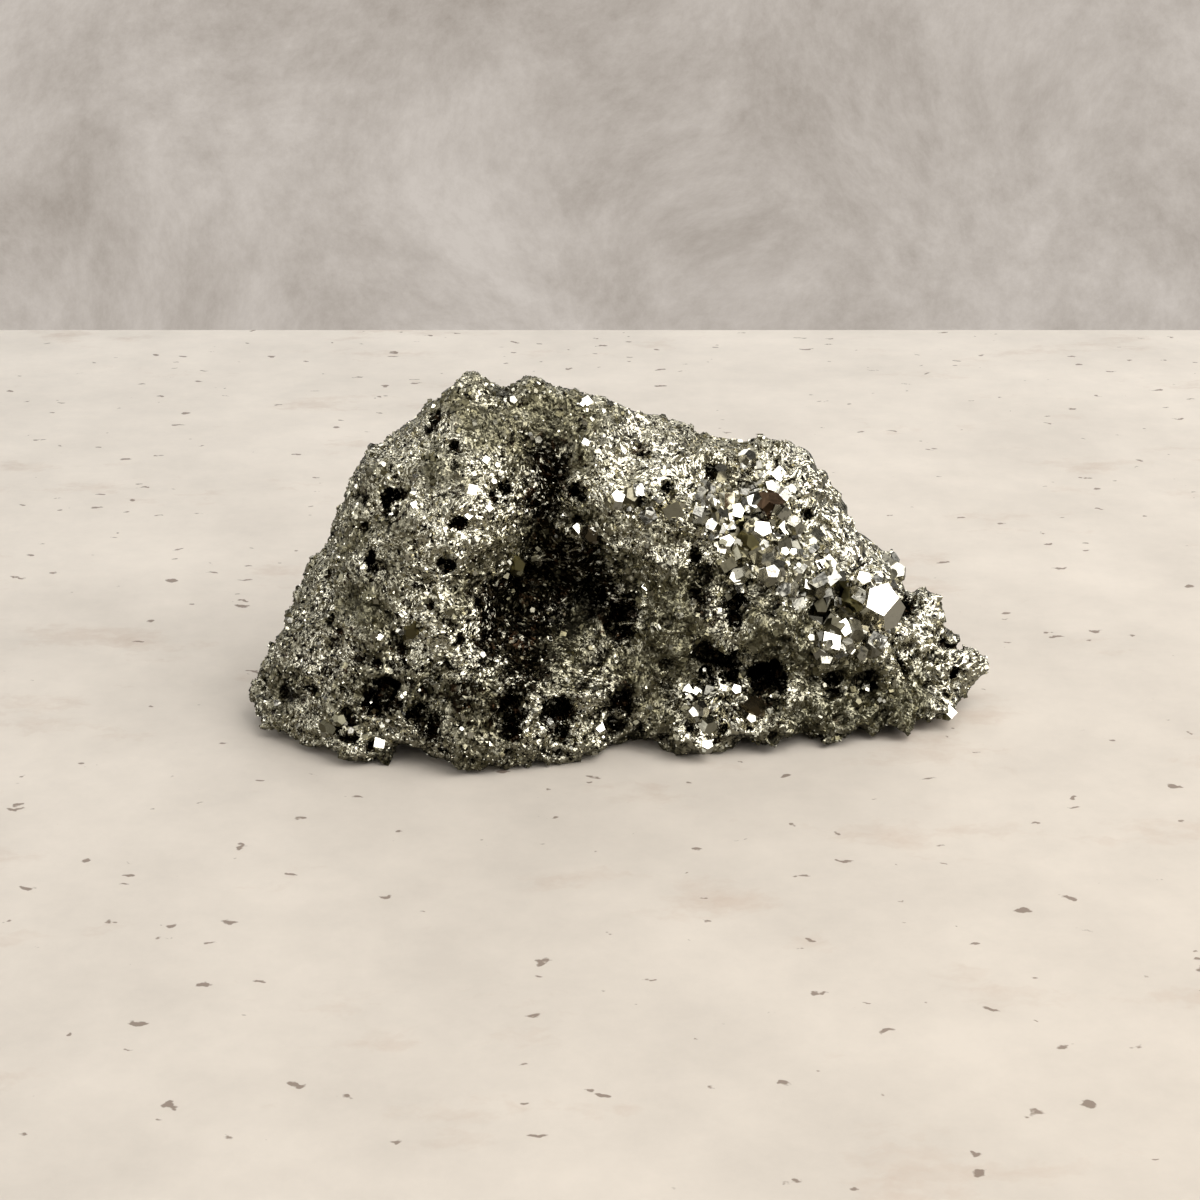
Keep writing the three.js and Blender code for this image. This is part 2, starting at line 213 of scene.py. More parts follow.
# small open vugs on the front: x, z and radius in mm
SMALL_VUGS = [(-43, 78, 1.5), (-43.5, 74.5, 1.8), (-38, 73, 1.6), (-53.5, 59.5, 2.2),
    (-50.5, 61.5, 1.3), (-60.5, 58.5, 1.3), (-35.5, 57, 1.2), (-57, 46, 1.3), (-40, 44, 1),
    (-43.5, 39, 1.1), (-56, 16.8, 5), (-63, 6.5, 1.9), (-58.5, 5, 1.5), (-47, 14, 2),
    (-43.5, 10.5, 2.6), (-25, 11, 2.8), (-9, 60.5, 1.6), (23, 62.5, 1.5), (11.5, 61.5, 1.4),
    (-26.5, 62.5, 1.7), (1, 28, 3), (0, 12.5, 3), (-13.5, 9.5, 2.6), (42.5, 37, 1.8), (36, 16, 4.4),
    (25, 21.5, 3.4), (21.5, 17.5, 2.4), (52, 13.5, 2), (60.5, 12.5, 2), (28, 32.5, 2),
    (19.5, 37.5, 1.6), (-68, 32, 1.3), (-76, 26, 1.2), (-73, 15, 1.6), (-50, 26, 1.4),
    (-40, 25.5, 1.5), (-36.5, 31, 1.4), (-9, 53.5, 1.5), (-80, 12, 1.5)]
FRONT = 14 * MM  # the front is all that lies before this depth
DEPTH = 1.4  # of a vug, in its own radii
places = places_of(skin)
normals = np.array([v.normal for v in skin.vertices])
hollowed = np.zeros(len(places))
# the edge of a vug wanders in and out, but less on a wide one
for x, z, radius in SMALL_VUGS:
    away = np.hypot(places[:, 0] - x * MM, places[:, 2] - z * MM) / (radius * MM)
    for i in np.nonzero((away < 2.5) & (places[:, 1] < FRONT))[0]:
        spot = Vector(places[i])
        ragged = 1.8 * noise.noise(spot / (3 * MM)) + 1.4 * noise.noise(spot / (1.3 * MM))
        ragged *= min(1, 2.2 / radius)
        inside = min(max(0.9 - away[i] ** 2 + ragged, 0), 1)
        hollowed[i] = max(hollowed[i], inside * radius * DEPTH * MM)
# each is pushed in partly square to the skin and partly straight back
pushed = places - normals * hollowed[:, None] * 0.6 + np.outer(hollowed, (0, 0.7, 0))
skin.vertices.foreach_set("co", pushed.ravel())
skin.update()


RAYS = 18
SPREAD = 0.92  # how far the rays fan out, from 0 straight up to 1 along the skin
CLEAR = 0.25 * MM  # how far off the skin they start
skin_tree = BVHTree.FromPolygons([v.co for v in skin.vertices], [p.vertices for p in skin.polygons])


def shelter_of(mesh, reach):
    """How closed in each vertex is, from 0 in the open to 1 at the bottom of a hole, by rays of a
    limited reach."""
    golden = math.pi * (3 - math.sqrt(5))
    fan = []
    for i in range(RAYS):
        up = 1 - (i + 0.5) / RAYS * SPREAD
        side = math.sqrt(1 - up * up)
        fan.append(Vector((side * math.cos(i * golden), side * math.sin(i * golden), up)))
    shelter = np.zeros(len(mesh.vertices))
    for i, vertex in enumerate(mesh.vertices):
        turn = vertex.normal.to_track_quat("Z", "Y").to_matrix()
        start = vertex.co + vertex.normal * CLEAR
        blocked = 0.0
        for ray in fan:
            distance = skin_tree.ray_cast(start, turn @ ray, reach)[3]
            if distance is not None:
                blocked += ray.z * (1 - distance / reach)
        shelter[i] = blocked
    return shelter / sum(ray.z for ray in fan)


def store(mesh, name, values):
    """Keeps a number at each vertex, for the materials and the grains to read."""
    attribute = mesh.attributes.new(name, "FLOAT", "POINT")
    attribute.data.foreach_set("value", np.asarray(values, dtype=np.float32))


def sunk_below(mesh, rounds):
    """How far each vertex lies under a smoothed copy of the skin, in metres: the creases
    between bumps."""
    places = places_of(mesh)
    normals = np.array([v.normal for v in mesh.vertices])
    ends = np.array([e.vertices[:] for e in mesh.edges])
    count = np.bincount(ends.ravel(), minlength=len(places))[:, None]
    smoothed = places.copy()
    for _ in range(rounds):
        total = np.stack([np.bincount(ends[:, 0], smoothed[ends[:, 1], k], len(places))
            + np.bincount(ends[:, 1], smoothed[ends[:, 0], k], len(places))
            for k in range(3)], axis=1)
        smoothed = 0.4 * smoothed + 0.6 * total / count
    return ((smoothed - places) * normals).sum(axis=1)


# how creased and how closed in each vertex is; the materials paint shade from these
fine_creases = np.clip(sunk_below(skin, 8) / (0.45 * MM), -1, 1)
broad_creases = np.clip(sunk_below(skin, 50) / (1.6 * MM), -1, 1)
store(skin, "crease", 0.4 * fine_creases + 0.6 * broad_creases)
store(skin, "shelter", shelter_of(skin, 5 * MM))
store(skin, "deep", shelter_of(skin, 40 * MM))

places = places_of(skin)


def patches_near(spots):
    """1 in the middle of each spot on the front, fading outwards. A spot is x, z and a reach in mm."""
    total = np.zeros(len(places))
    front = places[:, 1] < FRONT
    for x, z, reach in spots:
        away = (places[:, 0] - x * MM) ** 2 + (places[:, 2] - z * MM) ** 2
        total += front * np.exp(-away / (reach * MM) ** 2)
    return np.minimum(total, 1)


# where the front is painted dark, partly limonite and soot-black tarnish and partly painted shade:
# the hollow, the channel above it and the vugs round it, which are darker the deeper they go
STAINED_AND_SHADED = [(-7, 41, 8), (-18, 38, 8), (-1, 34, 4), (-29, 38, 5), (-30, 29, 4), (-21, 25, 6),
    (-17, 51, 4), (-18, 58, 4), (-15, 64, 5), (-16, 70, 4), (-13, 14, 4), (-26, 15, 4), (-36, 20, 4),
    (1, 15, 4), (22, 23, 4), (36, 18, 4), (-44, 12, 3), (28, 36, 3), (20, 36, 3), (-78, 13, 3)]
store(skin, "stain_and_shade", np.minimum(patches_near(STAINED_AND_SHADED) + hollowed / (1.3 * MM), 1.6))
# where the crust is drawn out into bright crumpled leaves
CRUMPLED = [(54, 56, 11), (60, 46, 9), (46, 64, 7), (66, 42, 6), (75, 27, 7), (87, 14, 6), (12, 67, 5),
    (2, 70, 5), (24, 13, 6), (28, 8, 5), (18, 5, 4), (81, 8, 4)]
foil = patches_near(CRUMPLED)
store(skin, "foil", foil)
# no grains grow on the leaves, and few in the vugs
store(skin, "bare", np.maximum(0.95 * foil, np.minimum(hollowed / (2 * MM), 0.85)))
# where it is pitted with fine pores, drawn only as dark specks of painted shade
PORED = [(-28, 79, 8), (-12, 77, 7), (-78, 20, 12), (-62, 20, 9), (-45, 20, 12), (-28, 14, 9),
    (-12, 14, 9), (2, 20, 8), (-60, 40, 9), (22, 38, 8)]
store(skin, "pored", patches_near(PORED))
# where a thin brown film dulls it
DULLED = [(-31, 77, 4.5), (-15, 76, 5), (-42, 70, 4), (13, 38, 8), (12, 22, 8), (46, 8, 7),
    (44, 21, 4), (60, 8, 8), (56, 18, 3), (73, 9, 6), (36, 27, 7), (-10, 26, 5), (-8, 56, 4),
    (30, 47, 4), (-60, 36, 4)]
store(skin, "dull", patches_near(DULLED))
# where coarse crystals crowd it
COARSE = [(27, 56, 8), (36, 52, 8), (31, 46, 7), (46, 41, 6), (62, 31, 8), (54, 26, 6), (20, 13, 4),
    (30, 9, 3), (6, 59, 4)]
store(skin, "coarse", patches_near(COARSE))


def linear(code):
    """The linear colour of an sRGB hex code."""
    parts = [int(code[i:i + 2], 16) / 255 for i in (0, 2, 4)]
    return [c / 12.92 if c <= 0.04045 else ((c + 0.055) / 1.055) ** 2.4 for c in parts] + [1.0]


def new_material(name):
    """A material with only its shader, and its tree and shader beside it."""
    made = bpy.data.materials.new(name)
    made.use_nodes = True
    tree = made.node_tree
    tree.nodes.clear()
    shader = add_node(tree, "ShaderNodeBsdfPrincipled")
    add_node(tree, "ShaderNodeOutputMaterial", {"Surface": shader.outputs[0]})
    return made, tree, shader


def stored(tree, *names):
    """The numbers that the vertices keep under these names."""
    nodes = [add_node(tree, "ShaderNodeAttribute", attribute_name=name) for name in names]
    return [node.outputs["Fac"] for node in nodes]


def shade_and_tarnish(tree, place, lit):
    """How much painted shade and tarnish hide the metal: shade is painted into creases, closed-in
    places, vugs and the hollow, and as dark specks for fine pores; tarnish comes in random patches
    and limonite stains. lit, from 0 to 1, is a chance by which some faces stay clear even there."""
    near, deep, crease, stain_and_shade, pored, film = stored(tree, "shelter", "deep", "crease", "stain_and_shade",
        "pored", "dull")
    mottle = add_node(tree, "ShaderNodeTexNoise", {"Vector": place, "Scale": 1 / (3.2 * MM),
        "Detail": 4.0, "Roughness": 0.7}).outputs[0]
    grit = add_node(tree, "ShaderNodeTexNoise", {"Vector": place, "Scale": 1 / (1.2 * MM),
        "Detail": 2.0, "Roughness": 0.6}).outputs[0]
    pores = add_node(tree, "ShaderNodeMath", {0: pored, 1: -0.045, 2: grit},
        operation="MULTIPLY_ADD").outputs[0]
    # the limonite stains, and the painted shade of the hollow and the vugs
    stained_and_shaded = add_node(tree, "ShaderNodeMath", {0: stain_and_shade, 1: 2.5, 2: -5.25},
        operation="MULTIPLY_ADD").outputs[0]
    total = add_node(tree, "ShaderNodeMath", {0: mottle, 1: 9.0, 2: stained_and_shaded}, operation="MULTIPLY_ADD",
        use_clamp=True).outputs[0]
    # painted shade: darker where closed in, deep down or creased, and dark specks for fine pores
    for measure, start, stop, most in ((near, 0.10, 0.42, 1.0), (deep, 0.15, 0.65, 1.0),
            (crease, 0.1, 0.8, 0.7), (pores, 0.44, 0.36, 1.0)):
        part = add_node(tree, "ShaderNodeMapRange",
            {"Value": measure, "From Min": start, "From Max": stop, "To Max": most})
        total = add_node(tree, "ShaderNodeMath", {0: total, 1: part.outputs[0]},
            operation="ADD").outputs[0]
    total = add_node(tree, "ShaderNodeMath", {0: total, 1: 1.0}, operation="MINIMUM").outputs[0]
    outside_stain_and_shade = add_node(tree, "ShaderNodeMath", {0: 1.0, 1: stain_and_shade}, operation="SUBTRACT",
        use_clamp=True).outputs[0]
    covered = add_node(tree, "ShaderNodeMath", {0: film, 1: outside_stain_and_shade},
        operation="MULTIPLY").outputs[0]
    cleared = add_node(tree, "ShaderNodeMath", {0: covered, 1: -0.4, 2: 1.0},
        operation="MULTIPLY_ADD").outputs[0]
    total = add_node(tree, "ShaderNodeMath", {0: total, 1: cleared}, operation="MULTIPLY").outputs[0]
    spared = add_node(tree, "ShaderNodeMapRange", {"Value": lit, "From Min": 0.72, "From Max": 0.95,
        "To Min": 1.0, "To Max": 0.5}).outputs[0]
    return add_node(tree, "ShaderNodeMath", {0: total, 1: spared}, operation="MULTIPLY").outputs[0]


def shade_and_tarnish_colour(tree, place):
    """The colour of painted shade and tarnish: near black, with specks of brown limonite."""
    specks = add_node(tree, "ShaderNodeTexNoise", {"Vector": place, "Scale": 1 / (2.6 * MM),
        "Detail": 3.0}).outputs[0]
    brown = add_node(tree, "ShaderNodeMapRange",
        {"Value": specks, "From Min": 0.56, "From Max": 0.68}).outputs[0]
    return add_node(tree, "ShaderNodeMix", {0: brown, 6: linear("17130b"), 7: linear("36271a")},
        data_type="RGBA").outputs[2]


COLONY = 5 * MM
HALF = (0.5, 0.5, 0.5)  # the middle of a random colour, taken off to make it a lean


def by_colony(tree, place, stretch):
    """Coordinates for a pattern that runs its own way in each colony of crystals, drawn out there."""
    colonies = add_node(tree, "ShaderNodeTexVoronoi", {"Vector": place, "Scale": 1 / COLONY})
    way = add_node(tree, "ShaderNodeVectorMath", {0: colonies.outputs["Color"], "Scale": math.tau},
        operation="SCALE")
    turned = add_node(tree, "ShaderNodeVectorRotate", {"Vector": place, "Rotation": way.outputs[0]},
        rotation_type="EULER_XYZ")
    return add_node(tree, "ShaderNodeVectorMath", {0: turned.outputs[0], 1: stretch},
        operation="MULTIPLY")


def pyrite(name, flake, tilt, fold, crumple, bright, dull):
    """Pyrite, grown as one mass: a pale brass metal. Its faces are thin steps, lying together in
    colonies that each run their own way, and the whole is folded like crumpled foil, so that it
    flashes in short streaks. The real steps are finer than 0.1 mm, and are drawn coarser to show."""
    made, tree, shader = new_material(name)
    place = add_node(tree, "ShaderNodeTexCoord").outputs["Object"]
    foil, film = stored(tree, "foil", "dull")
    drawn = by_colony(tree, place, (1.0, 0.35, 0.6))
    leaves = add_node(tree, "ShaderNodeTexNoise", {"Vector": drawn.outputs[0], "Scale": 1 / (1.9 * MM),
        "Detail": 1.5, "Roughness": 0.5, "Distortion": 1.2})
    folds = add_node(tree, "ShaderNodeTexNoise", {"Vector": drawn.outputs[0], "Scale": 1 / fold,
        "Detail": 2.0, "Roughness": 0.5, "Distortion": 1.0})
    cells = add_node(tree, "ShaderNodeTexVoronoi", {"Vector": drawn.outputs[0], "Scale": 1 / flake})
    face = add_node(tree, "ShaderNodeNewGeometry")
    lean = add_node(tree, "ShaderNodeVectorMath", {0: cells.outputs["Color"], 1: HALF},
        operation="SUBTRACT")
    bend = add_node(tree, "ShaderNodeVectorMath", {0: folds.outputs["Color"], 1: HALF},
        operation="SUBTRACT")
    shallow = add_node(tree, "ShaderNodeMath", {0: foil, 1: -0.6 * crumple, 2: crumple},
        operation="MULTIPLY_ADD")
    fine = add_node(tree, "ShaderNodeVectorMath", {0: bend.outputs[0], "Scale": shallow.outputs[0]},
        operation="SCALE")
    crease = add_node(tree, "ShaderNodeVectorMath", {0: leaves.outputs["Color"], 1: HALF},
        operation="SUBTRACT")
    depth = add_node(tree, "ShaderNodeMath", {0: foil, 1: 3.6}, operation="MULTIPLY")
    broad = add_node(tree, "ShaderNodeVectorMath", {0: crease.outputs[0], "Scale": depth.outputs[0]},
        operation="SCALE")
    folded = add_node(tree, "ShaderNodeVectorMath", {0: fine.outputs[0], 1: broad.outputs[0]},
        operation="ADD")
    stepped = add_node(tree, "ShaderNodeMath", {0: foil, 1: -0.8 * tilt, 2: tilt},
        operation="MULTIPLY_ADD")
    steps = add_node(tree, "ShaderNodeVectorMath", {0: lean.outputs[0], "Scale": stepped.outputs[0]},
        operation="SCALE")
    leaned = add_node(tree, "ShaderNodeVectorMath", {0: steps.outputs[0], 1: folded.outputs[0]},
        operation="ADD")
    tilted = add_node(tree, "ShaderNodeVectorMath", {0: leaned.outputs[0], 1: face.outputs["Normal"]},
        operation="ADD")
    unit = add_node(tree, "ShaderNodeVectorMath", {0: tilted.outputs[0]}, operation="NORMALIZE")
    tree.links.new(unit.outputs[0], shader.inputs["Normal"])
    lit = add_node(tree, "ShaderNodeSeparateXYZ", {0: cells.outputs["Color"]}).outputs[2]
    patches = add_node(tree, "ShaderNodeTexNoise", {"Vector": place, "Scale": 1 / (13 * MM),
        "Detail": 3.0, "Roughness": 0.6})
    dulled = add_node(tree, "ShaderNodeMapRange", {"Value": patches.outputs[0], "From Min": 0.40,
        "From Max": 0.62})
    filmed = add_node(tree, "ShaderNodeMath", {0: film, 1: 0.6, 2: dulled.outputs[0]},
        operation="MULTIPLY_ADD")
    kept = add_node(tree, "ShaderNodeMath", {0: filmed.outputs[0], 1: foil}, operation="SUBTRACT",
        use_clamp=True)
    tint = add_node(tree, "ShaderNodeMix", {0: kept.outputs[0], 6: linear(bright), 7: linear(dull)},
        data_type="RGBA")
    olive = add_node(tree, "ShaderNodeMath", {0: film, 1: 0.75}, operation="MULTIPLY")
    filmy = add_node(tree, "ShaderNodeMix", {0: olive.outputs[0], 6: tint.outputs[2],
        7: linear("787460")}, data_type="RGBA")
    # the metal darkened by painted shade and tarnish
    shaded_and_grimed = add_node(tree, "ShaderNodeMix", {0: shade_and_tarnish(tree, place, lit), 6: filmy.outputs[2],
        7: shade_and_tarnish_colour(tree, place)}, data_type="RGBA")
    tree.links.new(shaded_and_grimed.outputs[2], shader.inputs["Base Color"])
    worn = add_node(tree, "ShaderNodeMapRange", {"Value": kept.outputs[0], "To Min": 0.10,
        "To Max": 0.38})
    tree.links.new(worn.outputs[0], shader.inputs["Roughness"])
    shader.inputs["Metallic"].default_value = 1.0
    return made


skin.materials.append(pyrite("massive pyrite, grown", flake=0.5 * MM, tilt=0.7, fold=0.9 * MM,
    crumple=2.8, bright="dcd6c0", dull="817b62"))
for polygon in skin.polygons:
    polygon.use_smooth = True
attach(rock, "root")
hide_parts("pyrite_cluster")


# --------------------------------------------------------------------------------------------------
# The sugary grains and the coarse crystals
# A crust of small pyrite crystals that sprouted all over the body: corners of cubes and whole cubes
# of 0.35 to 1.6 mm, like coarse sugar, with coarser cubes and pyritohedra of 1 to 4 mm crowded
# together in its right half. All are rooted in the skin.
# --------------------------------------------------------------------------------------------------
def corner_mesh():
    """The corner of a cube that stands out of the crust: three square-cut faces meeting at a point."""
    made = bpy.data.meshes.new("corner")
    rooted = 0.2  # how far its foot reaches into the crust
    side = math.sqrt(2 / 3)
    turns = (0, math.tau / 3, 2 * math.tau / 3)
    foot = [(side * math.cos(turn), side * math.sin(turn), -rooted) for turn in turns]
    faces = [(0, 1, 2), (0, 2, 3), (0, 3, 1), (3, 2, 1)]
    made.from_pydata([(0, 0, math.sqrt(1 / 3) - rooted)] + foot, [], faces)
    return made


def hull_mesh(name, points):
    """The closed solid round some points, with its coplanar triangles joined into faces."""
    made = bpy.data.meshes.new(name)
    solid = bmesh.new()
    for point in points:
        solid.verts.new(point)
    bmesh.ops.convex_hull(solid, input=solid.verts)
    bmesh.ops.dissolve_limit(solid, angle_limit=0.02, verts=solid.verts, edges=solid.edges)
    bmesh.ops.recalc_face_normals(solid, faces=solid.faces)
    solid.to_mesh(made)
    solid.free()
    return made


def cube_points():
    return [Vector((x, y, z)) for x in (-0.5, 0.5) for y in (-0.5, 0.5) for z in (-0.5, 0.5)]


def pyritohedron_points():
    """Twelve five-sided faces, pyrite's second crystal habit, turned so that one of them is on top."""
    points = cube_points()
    for a in (-0.75, 0.75):
        for b in (-0.375, 0.375):
            points += [Vector((0, a, b)), Vector((b, 0, a)), Vector((a, b, 0))]
    upright = Matrix.Rotation(-math.atan2(2, 1), 3, "Y")
    return [upright @ point for point in points]


FORMS = {"cube": cube_points, "pyritohedron": pyritohedron_points}
tree, given, out = new_tree("grown_crystals", {"Form": "Object", "Per Square Metre": "Float",
    "Seed": "Int", "Smallest": "Float", "Largest": "Float", "Coarser": "Float", "Squashed": "Float",
    "Sunk": "Float", "Lean": "Float", "Facing": "Vector", "Together": "Float", "Lowest": "Float",
    "From X": "Float", "To X": "Float", "Least Coarse": "Float", "Material": "Material"})
place = add_node(tree, "ShaderNodeSeparateXYZ",
    {0: add_node(tree, "GeometryNodeInputPosition").outputs[0]})
facing = add_node(tree, "ShaderNodeSeparateXYZ",
    {0: add_node(tree, "GeometryNodeInputNormal").outputs[0]})
after = add_node(tree, "FunctionNodeCompare", {0: place.outputs[0], 1: given.outputs["From X"]},
    data_type="FLOAT", operation="GREATER_EQUAL")
before = add_node(tree, "FunctionNodeCompare", {0: place.outputs[0], 1: given.outputs["To X"]},
    data_type="FLOAT", operation="LESS_THAN")
# none grow on the flat cut, which looks straight down
not_under = add_node(tree, "FunctionNodeCompare", {0: facing.outputs[2], 1: -0.75},
    data_type="FLOAT", operation="GREATER_THAN")
off_ground = add_node(tree, "FunctionNodeCompare", {0: place.outputs[2], 1: given.outputs["Lowest"]},
    data_type="FLOAT", operation="GREATER_THAN")
coarse = add_node(tree, "GeometryNodeInputNamedAttribute", {0: "coarse"},
    data_type="FLOAT").outputs[0]
bare = add_node(tree, "GeometryNodeInputNamedAttribute", {0: "bare"}, data_type="FLOAT").outputs[0]
coarse_enough = add_node(tree, "FunctionNodeCompare", {0: coarse, 1: given.outputs["Least Coarse"]},
    data_type="FLOAT", operation="GREATER_EQUAL")
wanted = after.outputs[0]
for test in (before, not_under, off_ground, coarse_enough):
    wanted = add_node(tree, "FunctionNodeBooleanMath", {0: wanted, 1: test.outputs[0]},
        operation="AND").outputs[0]
covered = add_node(tree, "ShaderNodeMath", {0: 1.0, 1: bare}, operation="SUBTRACT")
sown = add_node(tree, "ShaderNodeMath", {0: covered.outputs[0], 1: given.outputs["Per Square Metre"]},
    operation="MULTIPLY")
points = add_node(tree, "GeometryNodeDistributePointsOnFaces",
    {"Mesh": given.outputs[0], "Selection": wanted, "Density": sown.outputs[0],
    "Seed": given.outputs["Seed"]}, distribute_method="RANDOM")
chance = add_node(tree, "FunctionNodeRandomValue", {"Seed": given.outputs["Seed"]}, data_type="FLOAT")
# most are small, and a few large
few_large = add_node(tree, "ShaderNodeMath", {0: chance.outputs[1], 1: 2.2}, operation="POWER")
size = add_node(tree, "ShaderNodeMapRange",
    {"Value": few_large.outputs[0], "To Min": given.outputs["Smallest"],
    "To Max": given.outputs["Largest"]})
growth = add_node(tree, "ShaderNodeMath", {0: coarse, 1: given.outputs["Coarser"], 2: 1.0},
    operation="MULTIPLY_ADD")
grown = add_node(tree, "ShaderNodeMath", {0: size.outputs[0], 1: growth.outputs[0]},
    operation="MULTIPLY").outputs[0]
flat = add_node(tree, "FunctionNodeRandomValue", {2: given.outputs["Squashed"], 3: 1.0, "Seed": 8},
    data_type="FLOAT")
narrow = add_node(tree, "ShaderNodeMath", {0: grown, 1: flat.outputs[1]}, operation="MULTIPLY")
shape = add_node(tree, "ShaderNodeCombineXYZ", {0: grown, 1: narrow.outputs[0], 2: grown})
lean_low = add_node(tree, "ShaderNodeMath", {0: given.outputs["Lean"], 1: -1.0}, operation="MULTIPLY")
low = add_node(tree, "ShaderNodeCombineXYZ", {0: lean_low.outputs[0], 1: lean_low.outputs[0],
    2: -math.pi})
high = add_node(tree, "ShaderNodeCombineXYZ", {0: given.outputs["Lean"], 1: given.outputs["Lean"],
    2: math.pi})
lean = add_node(tree, "FunctionNodeRandomValue", {0: low.outputs[0], 1: high.outputs[0],
    "Seed": given.outputs["Seed"]}, data_type="FLOAT_VECTOR")
turn = add_node(tree, "FunctionNodeEulerToRotation", {0: lean.outputs[0]})
together = add_node(tree, "FunctionNodeAlignRotationToVector", {"Rotation": points.outputs["Rotation"],
    "Factor": given.outputs["Together"], "Vector": given.outputs["Facing"]}, axis="Z")
turned = add_node(tree, "FunctionNodeRotateRotation", {0: together.outputs[0], 1: turn.outputs[0]},
    rotation_space="LOCAL")
sunk = add_node(tree, "ShaderNodeMath", {0: grown, 1: given.outputs["Sunk"]}, operation="MULTIPLY")
inward = add_node(tree, "ShaderNodeMath", {0: sunk.outputs[0], 1: -1.0}, operation="MULTIPLY")
deeper = add_node(tree, "ShaderNodeVectorMath",
    {0: points.outputs["Normal"], "Scale": inward.outputs[0]}, operation="SCALE")
bedded = add_node(tree, "GeometryNodeSetPosition", {"Geometry": points.outputs["Points"],
    "Offset": deeper.outputs[0]})
form = add_node(tree, "GeometryNodeObjectInfo", {"Object": given.outputs["Form"]})
crystals = add_node(tree, "GeometryNodeInstanceOnPoints", {"Points": bedded.outputs[0],
    "Instance": form.outputs["Geometry"], "Rotation": turned.outputs[0], "Scale": shape.outputs[0]})
tone = add_node(tree, "FunctionNodeRandomValue", {"Seed": 5}, data_type="FLOAT")
toned = add_node(tree, "GeometryNodeStoreNamedAttribute",
    {"Geometry": crystals.outputs[0], "Name": "tone", "Value": tone.outputs[1]}, data_type="FLOAT",
    domain="INSTANCE")
real = add_node(tree, "GeometryNodeRealizeInstances", {0: toned.outputs[0]})
painted = add_node(tree, "GeometryNodeSetMaterial",
    {"Geometry": real.outputs[0], "Material": given.outputs["Material"]})
tree.links.new(painted.outputs[0], out.inputs[0])


def grow(name, mesh, values):
    """Adds a piece made of crystals scattered over the skin."""
    form = plain_object(name + " form", mesh)
    bed = plain_object(name, skin)
    add_tree(bed, tree, {"Form": form, **values})
    grown = plain_mesh(bed, name)
    bpy.data.objects.remove(bed)
    bpy.data.objects.remove(form)
    piece = plain_object(name, grown)
    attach(piece, "root")


def facets(name, bright, dull, rusty, rough, ripple, shade_and_grime):
    """Pyrite crystal faces, grown free: a clean pale brass mirror, a little different on every
    crystal, and finely striated."""
    made, tree, shader = new_material(name)
    place = add_node(tree, "ShaderNodeTexCoord").outputs["Object"]
    tone, rust, film = stored(tree, "tone", "rust", "dull")
    filmed = add_node(tree, "ShaderNodeMath", {0: film, 1: 0.6, 2: tone}, operation="MULTIPLY_ADD",
        use_clamp=True)
    tint = add_node(tree, "ShaderNodeMix", {0: filmed.outputs[0], 6: linear(bright), 7: linear(dull)},
        data_type="RGBA")
    rusted = add_node(tree, "ShaderNodeMix", {0: rust, 6: tint.outputs[2], 7: linear(rusty)},
        data_type="RGBA")
    # painted shade and tarnish, as on the massive pyrite, in a share given for each kind of crystal
    hidden = add_node(tree, "ShaderNodeMath", {0: shade_and_tarnish(tree, place, tone), 1: shade_and_grime},
        operation="MULTIPLY")
    shaded_and_grimed = add_node(tree, "ShaderNodeMix", {0: hidden.outputs[0], 6: rusted.outputs[2],
        7: shade_and_tarnish_colour(tree, place)}, data_type="RGBA")
    tree.links.new(shaded_and_grimed.outputs[2], shader.inputs["Base Color"])
    drawn = by_colony(tree, place, (1.0, 0.2, 0.4))
    steps = add_node(tree, "ShaderNodeTexNoise", {"Vector": drawn.outputs[0], "Scale": 1 / (0.8 * MM),
        "Detail": 2.0})
    bend = add_node(tree, "ShaderNodeVectorMath", {0: steps.outputs["Color"], 1: HALF},
        operation="SUBTRACT")
    face = add_node(tree, "ShaderNodeNewGeometry")
    tilted = add_node(tree, "ShaderNodeVectorMath", {0: bend.outputs[0], 1: (ripple,) * 3,
        2: face.outputs["Normal"]}, operation="MULTIPLY_ADD")
    unit = add_node(tree, "ShaderNodeVectorMath", {0: tilted.outputs[0]}, operation="NORMALIZE")
    tree.links.new(unit.outputs[0], shader.inputs["Normal"])
    worn = add_node(tree, "ShaderNodeMapRange", {"Value": filmed.outputs[0], "From Min": 0.3,
        "From Max": 1.0, "To Min": rough, "To Max": rough + 0.22})
    tree.links.new(worn.outputs[0], shader.inputs["Roughness"])
    shader.inputs["Metallic"].default_value = 1.0
    return made


sugar = facets("pyrite grain faces", bright="e4dfcc", dull="7a745a", rusty="4a3418", rough=0.11,
    ripple=0.7, shade_and_grime=1.0)
BANDS = (-95, -45, -8, 30, 95)  # the crust is four pieces side by side, which meet at these x, in mm
for i, (start, stop) in enumerate(zip(BANDS, BANDS[1:])):
    here = {"From X": start * MM, "To X": stop * MM, "Least Coarse": -1.0, "Together": 0.0,
        "Material": sugar}
    grow(f"fine_grains_{i + 1}", corner_mesh(), {"Per Square Metre": 1.15e6, "Seed": 11 + i,
        "Smallest": 0.35 * MM, "Largest": 1.0 * MM, "Coarser": 0.8, "Squashed": 0.3, "Sunk": 0.0,
        "Lean": 0.8, "Lowest": 0.6 * MM, **here})
    grow(f"cube_grains_{i + 1}", hull_mesh("cube", cube_points()),
        {"Per Square Metre": 0.14e6, "Seed": 31 + i, "Smallest": 0.5 * MM, "Largest": 1.6 * MM,
        "Coarser": 0.5, "Squashed": 0.6, "Sunk": 0.1, "Lean": math.pi, "Lowest": 0.8 * MM, **here})

